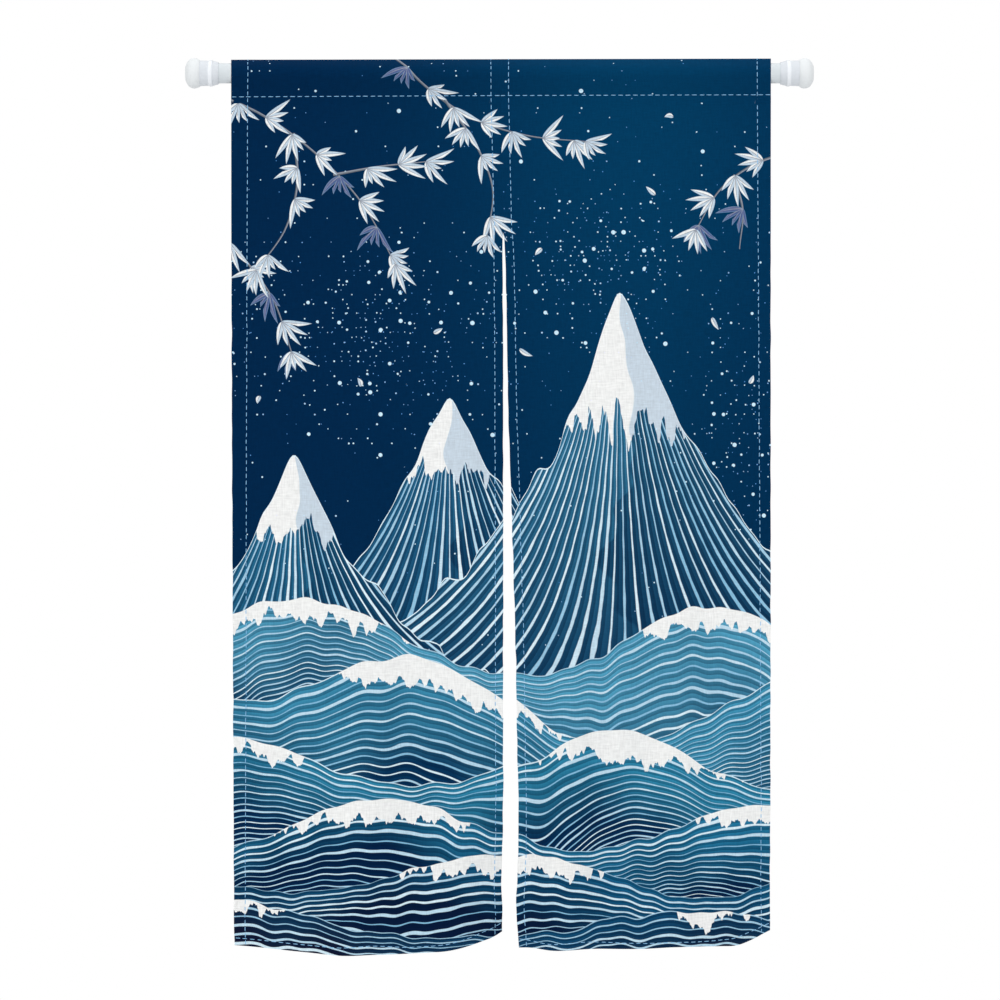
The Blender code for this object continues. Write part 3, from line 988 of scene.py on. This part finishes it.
# How the print is drawn, in metres; a line's widths are shares of the way to the next line
drawing = {
    "edge": 0.0006,  # over which the land begins
    "outline": 0.0020,
    "lineWidth": (0.062, 0.11),  # half of the thinnest line, and what chance adds to it
    "lineSwell": (0.25, 1.5),  # the least that both are multiplied by, and what noise adds to that
    "lineEdge": 0.05,
    "bandShade": 0.50,  # how dark the fill gets beside the next line
    "uneven": 26.0,  # the noise that swells lines and moves threads, to the metre
    "broad": (4.5, 1.6, 0.75),  # the noise that darkens hills: to the metre, strength, middle
    "flankFrom": 0.05,  # where a peak's shaded flank starts, as a share of its width
    "flankWander": (9.0, 1.1),  # how that wanders: noise to the metre, strength
    "flankEdge": 0.02,
    "flankShade": 0.55,
    "snowShade": 0.90,
    "snowEdge": 0.0008,
    "drips": (58.0, 5.0),  # the noise that drips run with, to the metre across and down
    "peakDrip": 1.3,  # how far snow drips, as a share of its depth on the peak
    "hillDrip": 0.085,
    "stemEdge": 0.3,  # in the stem's own half widths, as is the next
    "stemShade": 1.2,
    "stemReach": 0.006,
    "sprigs": 400.0,  # how many sprigs can be told apart
    "leafEdge": 0.0005,
    "leafShade": 0.0008,
    "leafBend": 0.010,
    "leafTip": 0.95,  # the power that draws out a leaf's tip
    "leafFull": 2.55,  # makes the outline's widest place 1
    "leafThinner": 0.0003,
    "leafPast": 0.002,  # how far past its longest leaf a sprig is looked for
    "indigo": 0.88,  # how far a dark sprig is tinted
    "rib": (0.0007, 0.0004),  # width at the sprig, and softness
    "rim": (0.0008, 0.0006, 0.35),  # width, softness and strength
}


def paintLines(fill, line, uneven, first):
    # a line at every whole number, each with its own weight and tone, over bands that darken
    # from one line to the next; first is where a land's own random numbers start
    nearest = round(line)
    weight, tone, _ = split(chance(nearest + first, "Color"))
    off = line - nearest
    fill = mixed(limited(off + 0.5) * drawing["bandShade"], fill, inks["deep"])
    thin, wider = drawing["lineWidth"]
    least, swell = drawing["lineSwell"]
    thick = (weight * wider + thin) * (uneven * swell + least)
    drawn = soft(thick - abs(off), drawing["lineEdge"])
    return mixed(drawn, fill, mixed(tone, inks["lineDim"], inks["line"]))


def paintPeak(below, name, uneven, drips):
    # a fill that darkens downwards with one flank in shade, its lines, a cap of snow that drips
    # down as drawn-out noise, and a thin outline
    peak = peaks[name]
    depth, line, snow = split(field(below.tree, name))
    share = limited((peak["snow"] - snow) / (peak["top"] - peak["foot"]))
    scale, wander = drawing["flankWander"]
    level = (noise(joined(0.0, snow, peak["at"]), scale, 1.0) - 0.5) * wander
    flank = soft(line / peak["lines"] - drawing["flankFrom"] + level, drawing["flankEdge"])
    fill = mixed(share, peak["high"], peak["low"])
    fill = mixed(flank * drawing["flankShade"], fill, inks["night"])
    fill = paintLines(fill, line, uneven, 300 * peak["at"])
    white = mixed(flank * drawing["snowShade"], inks["snow"], inks["snowShade"])
    cap = drips * (drawing["peakDrip"] * peak["snow"]) + snow
    fill = mixed(soft(cap, drawing["snowEdge"]), fill, white)
    fill = mixed(soft(drawing["outline"] - depth, drawing["edge"]), fill, inks["line"])
    return mixed(soft(depth, drawing["edge"]), below, fill)


def paintHill(below, name, uneven, drips, darker):
    # a fill that darkens with depth under the crest, its lines, and snow that drips from the crest
    hill = hills[name]
    depth, line, snow = split(field(below.tree, name))
    fill = mixed(limited(depth / hill["deep"] + darker), hill["high"], hill["low"])
    fill = paintLines(fill, line, uneven, 100 * hill["deep"])
    fill = mixed(soft(drips * drawing["hillDrip"] + snow, drawing["snowEdge"]), fill, inks["snow"])
    return mixed(soft(depth, drawing["edge"]), below, fill)


def paintLeaves(below, name, leaves):
    # leaves that fan out from each sprig: the angle picks a leaf, and its outline is
    # sqrt(along) * (1 - along) on either side of a bent rib
    fan, most = leaves["fan"], leaves["most"]
    forward, sideways, away = split(field(below.tree, name))
    kind = field(below.tree, name + "Kind", "Fac")
    turn = calc("ARCTAN2", sideways, forward)
    leaf = calc("MAXIMUM", calc("MINIMUM", round(turn / fan), most), -most)
    local = turn - leaf * fan
    reach = calc("SQRT", forward * forward + sideways * sideways)
    length = (chance(round(kind * drawing["sprigs"]) + leaf) + 1.0) * (leaves["length"] / 2)
    along = limited(reach * calc("COSINE", local) / length)
    rest = 1.0 - along
    across = reach * calc("SINE", local) + along * rest * kind * drawing["leafBend"]
    aside = abs(across)
    wide = calc("SQRT", along) * rest ** drawing["leafTip"] * (drawing["leafFull"] * leaves["halfWidth"])
    wide = wide - drawing["leafThinner"]
    close = away < leaves["length"] + drawing["leafPast"]
    rib, ribEdge = drawing["rib"]
    rim, rimEdge, rimShade = drawing["rim"]
    shade = mixed(soft(across, drawing["leafShade"]), inks["snow"], inks["snowShade"])
    shade = mixed((kind > leaves["dark"]) * drawing["indigo"], shade, inks["indigo"])
    shade = mixed(soft(rest * rib - aside, ribEdge), shade, inks["rib"])
    shade = mixed(soft(aside + rim - wide, rimEdge) * rimShade, shade, inks["lineDim"])
    return mixed(soft(wide - aside, drawing["leafEdge"]) * close, below, shade)


def paintFlakes(below, place, falling, kind):
    # round flakes, one in each cell of a scatter, with the cell's colour as its size and luck, the
    # small ones dimmer; they only ever lighten what is below
    scale, (smallest, largest) = kind["cells"], kind["sizes"]
    scatter = {"Vector": place, "Scale": scale}
    cells = addNode(place.tree, "ShaderNodeTexVoronoi", scatter, voronoi_dimensions="2D")
    size, luck, _ = split(Value(cells.outputs["Color"]))
    size = size ** flakes["small"]
    radius = (size * (largest - smallest) + smallest) * scale
    flake = soft(radius - Value(cells.outputs["Distance"]), flakes["edge"] * scale)
    there = luck < falling * kind["share"]
    tone = mixed(limited(size * flakes["bright"]), inks["flakeFar"], inks["flake"])
    return mixed(flake * there, below, tone, blend_type="LIGHTEN")


def paintStems(below, which):
    # as wide as the field's own half width, lighter along its upper side
    across, away, _ = split(field(below.tree, which))
    stem = soft(1.0 - abs(across), drawing["stemEdge"]) * (away < drawing["stemReach"])
    tone = mixed(soft(across, drawing["stemShade"]), inks["stem"], inks["rib"])
    return mixed(stem, below, tone)


def paintPrint(tree, flat, uneven):
    # the sky, then each layer of the print over the one behind it
    x, z, _ = split(flat)
    scale, strength, middle = drawing["broad"]
    broad = noise(flat, scale, 1.0) * strength - middle
    often, seldom = drawing["drips"]
    drips = noise(joined(x * often, z * seldom), 1.0, 3.0) - 0.5
    glow, falling, dusk = split(field(tree, "air"))
    colour = mixed(glow, inks["night"], inks["nightLight"])
    colour = paintFlakes(colour, flat, falling, flakes["behind"])
    for name in peaks:
        colour = paintPeak(colour, name, uneven, drips)
    colour = paintFlakes(colour, flat, falling, flakes["before"])
    darker = broad + dusk
    for name in hills:
        colour = paintHill(colour, name, uneven, drips, darker)
    for which in ("stems", "twigs"):
        colour = paintStems(colour, which)
    for number in range(bamboo["layers"]):
        colour = paintLeaves(colour, f"sprig{number}", bamboo["leaf"])
    return paintLeaves(colour, "fallen", bamboo["fallenLeaf"])


# The cloth's finish

weave = {
    "pitch": 0.0013,  # between threads
    "wander": 0.9,  # how far a thread strays, in pitches
    "bump": (0.00025, 0.6),  # distance and strength
    "slub": (0.0023, 0.016),  # the thick stretches of a thread: width and length
    "slubBump": 0.35,
    "unevenness": 0.31,  # how much slubs lighten the cloth
    # painted shade and highlight: the weave's height lightens the threads' crowns and darkens the hollows between them
    "paintedThreadShade": 0.06,  # how much its height lightens a thread
    "tone": 0.95,  # of the cloth without both
    "washed": 0.17,  # how far the print is lost on the back
    "washedInk": (190, 212, 236),
    "finish": (0.90, 0.03),  # roughness and specular
    "sheen": {"Sheen Weight": 0.012, "Sheen Roughness": 0.4, "Sheen Tint": (0.6, 0.75, 1.0, 1.0)},
}


def weaveHeight(x, z, uneven):
    # plain weave: over one thread and under the next, each thread round in section
    wander = uneven * weave["wander"]
    u, v = x / weave["pitch"] + wander, z / weave["pitch"] + wander
    warp, weft = (abs(calc("SINE", thread * math.pi)) for thread in (u, v))
    over = (calc("FLOOR", u) + calc("FLOOR", v)) % 2.0
    return worked("ShaderNodeMix", {0: over, 2: warp, 3: weft}, data_type="FLOAT")


def slubs(across, run, seed):
    # noise drawn out along the threads that lie side by side across
    width, length = weave["slub"]
    return noise(joined(across / width, run / length, seed), 1.0)


def clothFinish():
    # the print, washed out on the back, in the uneven tone and relief of the weave, with painted shade darkening the
    # hollows between threads
    finish, tree, shader = newFinish("clothFinish", *weave["finish"], **weave["sheen"])
    x, z, front = split(field(tree, "cloth"))
    flat = joined(x, z)
    uneven = noise(flat, drawing["uneven"])
    colour = paintPrint(tree, flat, uneven)
    washed = mixed(weave["washed"], colour, weave["washedInk"])
    height = weaveHeight(x, z, uneven)
    streaks = slubs(x, z, 1.0) + slubs(z, x, 5.0)
    # painted shade: the weave's height makes thread crowns lighter and the hollows between threads darker
    tone = (streaks - 1.0) * weave["unevenness"] + height * weave["paintedThreadShade"] + weave["tone"]
    shaded = {0: mixed(front, washed, colour), 3: tone}
    shaded = worked("ShaderNodeVectorMath", shaded, operation="SCALE")
    relief = bumped(streaks * weave["slubBump"] + height, *weave["bump"])
    setInputs(shader, {"Base Color": shaded, "Normal": relief})
    return finish


def makePanel(side, finish):
    # printed face and reverse as two grids, joined round their rim; a turned-in hem shows the
    # print mirrored about the edge that it is folded on
    across, along = panelGrid(side)
    rows, columns = across.shape
    face, normal = clothPoint(side, across, along)
    reverse = face - normal * layerDepth(side, across, along)[..., None]
    count = rows * columns
    front = gridFaces(rows, columns)
    rim = gridRim(rows, columns)
    ahead = np.roll(rim, -1)
    sides = np.stack([ahead, rim, rim + count, ahead + count], axis=1)
    faces = np.concatenate([front, front[:, ::-1] + count, sides])
    points = np.stack([face, reverse])
    piece = newPiece("panel" + side.capitalize(), points, faces, finish, cloth["sharpAngle"])
    left, right = (-cloth["width"], 0.0) if side == "left" else (0.0, cloth["width"])
    low, high, hem = (inside.ravel() > 0 for inside in turnedIn(side, across, along))
    x, up = left + across.ravel(), drawnUp(side, across, along).ravel()
    z = along.ravel() + up
    behindX = np.where(low, 2 * left - x, np.where(high, 2 * right - x, x))
    behindZ = np.where(hem, 2 * up - z, z)
    printed = np.concatenate([np.ones(count), low | high | hem])
    fields = printFields(np.concatenate([x, behindX]), np.concatenate([z, behindZ]), printed)
    for name, values in fields.items():
        addField(piece.data, name, values)
    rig.ride(piece, "root")
    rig.slot(piece, "cloth")
    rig.replaces(piece, "panel_" + side)
    print(piece.name, "made with", 2 * len(faces), "triangles")
    return piece


# Sewing

sewing = {
    "rows": {  # from stitch to stitch, a stitch's length, and how far the row stays from its ends
        "side": (0.0109, 0.0078, 0.0020, 0.0010),
        "hem": (0.0118, 0.0085, 0.0012, 0.0012),
        "pocket": (0.0118, 0.0085, 0.0006, 0.0004),
    },
    "halfWidth": 0.00058,
    "halfHeight": 0.00031,
    "dip": (0.9, 1.9),  # how high a stitch stands, and how far its ends dip, in half heights
    "thinner": 0.62,  # at its ends
    "rings": 7,
    "corners": 6,
    "uneven": (0.00022, 0.04, 0.00010),  # its place, its length as a share, its distance from the edge
    "belowPocket": 0.004,  # where the side rows on the back end
    "seeds": {"left": 21, "right": 22},
    # how far the pocket's row lies above its line, at each panel's two sides
    "pocketShift": {"left": (-0.0016, 0.0006), "right": (0.0006, 0.0020)},
    "inks": ((124, 184, 230), (154, 204, 240)),
    "finish": (0.62, 0.20),  # roughness and specular
    "fibres": (420.0, 2600.0),  # the noise of its tone and of its twist, to the metre
    "bump": (0.0002, 0.5),
}


def stitchRow(side, across, along, reverse):
    # one tube for each row of across and along: it rises over the cloth in the middle, and
    # narrows and dips into it at its ends
    face, normal = clothPoint(side, across, along)
    if reverse:
        face = face - normal * layerDepth(side, across, along)[..., None]
        normal = -normal
    share = np.linspace(-1, 1, sewing["rings"])
    high, dip = sewing["dip"]
    lift = sewing["halfHeight"] * (high - dip * share ** 4)
    thin = 1 - sewing["thinner"] * share ** 6
    centre = face + normal * lift[:, None]
    ahead = np.gradient(centre, axis=1)
    ahead /= np.linalg.norm(ahead, axis=-1, keepdims=True)
    sideways = np.cross(ahead, normal)
    turn = np.linspace(0, 2 * math.pi, sewing["corners"], endpoint=False)
    wide = (sewing["halfWidth"] * thin)[:, None, None] * np.cos(turn)[:, None]
    tall = (sewing["halfHeight"] * thin)[:, None, None] * np.sin(turn)[:, None]
    return centre[:, :, None] + sideways[:, :, None] * wide + normal[:, :, None] * tall


def tubeFaces(count, rings, corners):
    # side faces and two end faces of many tubes, each a stack of rings
    ring = np.arange(rings - 1)[:, None] * corners
    corner = np.arange(corners)
    after = (corner + 1) % corners
    one = np.stack([ring + corner, ring + corners + corner, ring + corners + after, ring + after], axis=-1)
    start = np.arange(count)[:, None] * rings * corners
    sides = (one.reshape(1, -1, 4) + start[:, :, None]).reshape(-1, 4)
    ends = np.concatenate([start + corner, start + (rings - 1) * corners + corner[::-1]])
    return [*sides.tolist(), *ends.tolist()]


def dashesAlong(row, length, random):
    # places along each stitch of a row that fills the length, a little uneven
    pitch, dash, start, short = sewing["rows"][row]
    end = length - short
    astray, longer, _ = sewing["uneven"]
    count = int(round((end - start - dash) / pitch)) + 1
    middles = np.linspace(start + dash / 2, end - dash / 2, count)
    middles = middles + random.normal(0, astray, count)
    lengths = dash * (1 + random.normal(0, longer, count))
    return middles[:, None] + lengths[:, None] * np.linspace(-0.5, 0.5, sewing["rings"])


def makeStitches(side, finish):
    # rows down both sides and along the bottom, on the front and again on the back, and the
    # pocket's row on its two faces
    random = np.random.default_rng(sewing["seeds"][side])
    width, astray = cloth["width"], sewing["uneven"][2]
    tubes = []
    for reverse in (False, True):
        top = section["drop"] - sewing["belowPocket"] if reverse else section["end"]
        for edge in ("low", "high"):
            along = dashesAlong("side", top, random)
            inset = stitchInset(side, edge, along) + random.normal(0, astray, (len(along), 1))
            across = inset if edge == "low" else width - inset
            tubes.append(stitchRow(side, across, along, reverse))
        across = dashesAlong("hem", width, random)
        tubes.append(stitchRow(side, across, hemInset(side, across), reverse))
    across = dashesAlong("pocket", width, random)
    shift = np.interp(across, [0, width], sewing["pocketShift"][side])
    tubes.append(stitchRow(side, across, section["drop"] + shift, False))
    tubes.append(stitchRow(side, across, section["tail"] - shift, False))
    points = np.concatenate(tubes)
    faces = tubeFaces(len(points), sewing["rings"], sewing["corners"])
    piece = newPiece("stitches" + side.capitalize(), points, faces, finish)
    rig.ride(piece, "root")
    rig.slot(piece, "cloth")
    print(piece.name, "made of", len(points), "stitches")
    return piece


def threadFinish():
    # two tones of thread mixed by fine noise, and finer noise for its twist
    finish, tree, shader = newFinish("threadFinish", *sewing["finish"])
    place = objectPlace(tree)
    coarse, fine = sewing["fibres"]
    tone = mixed(noise(place, coarse), *sewing["inks"])
    setInputs(shader, {"Base Color": tone, "Normal": bumped(noise(place, fine, 1.0), *sewing["bump"])})
    return finish


clothLook, threadLook = clothFinish(), threadFinish()
stripLength = section["end"] + 2 * cloth["bottomHem"]
for side in ("left", "right"):
    panel = makePanel(side, clothLook)
    sewn = makeStitches(side, threadLook)
    hems = sum(sum(pair) / 2 for pair in sideStitch[side].values())
    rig.sheet(panel, flat=(cloth["width"] + hems, stripLength), held="hung", rests_on=["rod_tube"],
             with_pieces=[sewn])
print("cloth sewn")


# The rod and its ends

rod = {
    "length": 1.000,
    "radius": 0.0160,
    "wall": 0.0008,
    "seatGap": 0.00035,
    "lipGap": 0.00008,
    "socket": 0.022,
    "steps": 112,
    # distance in from the pad's face, and radius
    "pad": [(0.0000, 0.0000), (0.0000, 0.0060), (0.0000, 0.0120), (0.0016, 0.0155), (0.0040, 0.0193),
            (0.0064, 0.0218), (0.0094, 0.0234), (0.0140, 0.0241), (0.0186, 0.0233), (0.0215, 0.0219),
            (0.0230, 0.0206)],
    "barrel": [(0.0231, 0.0203), (0.0240, 0.0203), (0.0300, 0.0201), (0.0364, 0.0199)],
    "bead": [(0.0366, 0.0199), (0.0376, 0.0205), (0.0388, 0.0209), (0.0402, 0.0210), (0.0416, 0.0209),
             (0.0430, 0.0205), (0.0440, 0.0198)],
    "collar": [(0.0442, 0.0197), (0.0478, 0.0188), (0.0508, 0.0180), (0.0524, 0.0174), (0.0530, 0.0169)],
    # the bead's outer flank and crest: really polished smoother, and given a lighter tone as a painted highlight
    "ring": (0.0366, 0.0424),  # the polished stretch of the bead
    "ringHighlightEdge": 0.0006,
    "lip": 0.0010,  # how far in from its mouth a cap's socket fits close
    "bore": 0.0013,  # and from how far in it is wide
    "backing": 0.0231,  # where the cap's closed face is, against the pad
    "padStep": 0.0011,  # between points of the finished curves
    "capStep": 0.0009,
    "tubeRings": 60,
    "sharpAngle": 38,
}

# Tone, roughness, grain to the metre, how far the roughness wanders, and the lighter tone of the cap's ring, a painted
# highlight
plastics = {
    "tubePaint": ((217, 224, 228), 0.36, 900.0, 0.10),
    "capPlastic": ((220, 225, 231), 0.42, 1400.0, 0.08, (239, 243, 248)),
    "padRubber": ((233, 237, 239), 0.66, 700.0, 0.12),
}

# What all three share
moulding = {
    "specular": 0.35,
    "clouds": (60.0, 6),  # to the metre, and how many steps of the screen darker
    "patches": 240.0,  # of roughness, to the metre
    "bump": (0.00006, 0.4),
    "polish": 0.16,  # how much smoother the ring is
}


def turnedPiece(profile, side, name, finish, slotName, node):
    # a profile turned about the rod's axis: each of its points gives a ring at radius * cos and
    # radius * sin, or one pole where it lies on the axis
    steps = rod["steps"]
    corner = np.arange(steps)
    turn = 2 * math.pi * corner / steps
    points, rings = np.zeros((0, 3)), []
    for inward, radius in profile:
        x = np.full(steps, side * (rod["length"] / 2 - inward))
        around = np.column_stack([x, radius * np.cos(turn), radius * np.sin(turn)])
        around = around if radius > 0 else around[:1]
        rings.append(len(points) + corner % len(around))
        points = np.concatenate([points, around])
    pairs = list(zip(rings, rings[1:]))
    if profile[0][1] > 0:
        pairs.append((rings[-1], rings[0]))
    faces = []
    for one, other in pairs:
        quads = np.stack([one, np.roll(one, -1), np.roll(other, -1), other], axis=1)
        used = [0, 2, 3] if one[0] == one[1] else [0, 1, 2] if other[0] == other[1] else [0, 1, 2, 3]
        faces += quads[:, used[::-side]].tolist()
    piece = newPiece(name, points, faces, finish, rod["sharpAngle"])
    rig.ride(piece, "root")
    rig.slot(piece, slotName)
    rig.replaces(piece, node)


def plasticFinish(name, colour, roughness, grain, change, ringHighlightColour=None):
    # a faintly clouded, grainy white; the cap's ring is polished smoother, and its lighter tone is a painted highlight
    finish, tree, shader = newFinish(name, roughness, moulding["specular"])
    place = objectPlace(tree)
    scale, darker = moulding["clouds"]
    tone = mixed(noise(place, scale), tuple(part - darker for part in colour), colour)
    rough = noise(place, moulding["patches"]) * change + (roughness - change / 2)
    if ringHighlightColour:
        end, start = (rod["length"] / 2 - inward for inward in rod["ring"])
        off = abs(abs(split(place)[0]) - (start + end) / 2)
        ring = soft((end - start) / 2 - off, rod["ringHighlightEdge"])
        # painted highlight: the ring's lighter tone over the bead's outer flank and crest
        tone = mixed(ring, tone, ringHighlightColour)
        rough = rough - ring * moulding["polish"]
    grainy = bumped(noise(place, grain, 1.0), *moulding["bump"])
    setInputs(shader, {"Base Color": tone, "Roughness": rough, "Normal": grainy})
    return finish


def makeRod():
    # pads, caps and tube turned from profiles, a cap's with the socket that the tube sits in
    paint, plastic, rubber = (plasticFinish(name, *values) for name, values in plastics.items())
    radius, mouth = rod["radius"], rod["collar"][-1][0]
    bore, lip = radius + rod["seatGap"], radius + rod["lipGap"]
    floor = mouth - rod["socket"]
    face = throughPoints(rod["pad"][2:], rod["padStep"])
    pad = [*rod["pad"][:2], *face, (rod["pad"][-1][0], 0.0)]
    parts = [throughPoints(rod[part], rod["capStep"]) for part in ("barrel", "bead", "collar")]
    inside = [(mouth, lip), (mouth - rod["lip"], lip), (mouth - rod["bore"], bore), (floor, bore)]
    cap = [(rod["backing"], 0.0), *np.concatenate(parts), *inside, (floor, 0.0)]
    for word, side in (("Left", -1), ("Right", 1)):
        turnedPiece(pad, side, "pad" + word, rubber, "pad_rubber", "pad_" + word.lower())
        turnedPiece(cap, side, "cap" + word, plastic, "cap_plastic", "cap_" + word.lower())
    start = floor + rod["seatGap"]
    outside = [(place, radius) for place in np.linspace(start, rod["length"] - start, rod["tubeRings"])]
    within = [(place, radius - rod["wall"]) for place, _ in outside[::-1]]
    turnedPiece(outside + within, -1, "rodTube", paint, "tube_paint", "rod_tube")


makeRod()
print("rod made")

visualBox = [list(corner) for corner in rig.bounds()]
with open("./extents.json", "w") as sizeFile:
    json.dump({"cad": cadBox, "visual": visualBox}, sizeFile)
print("sizes written")
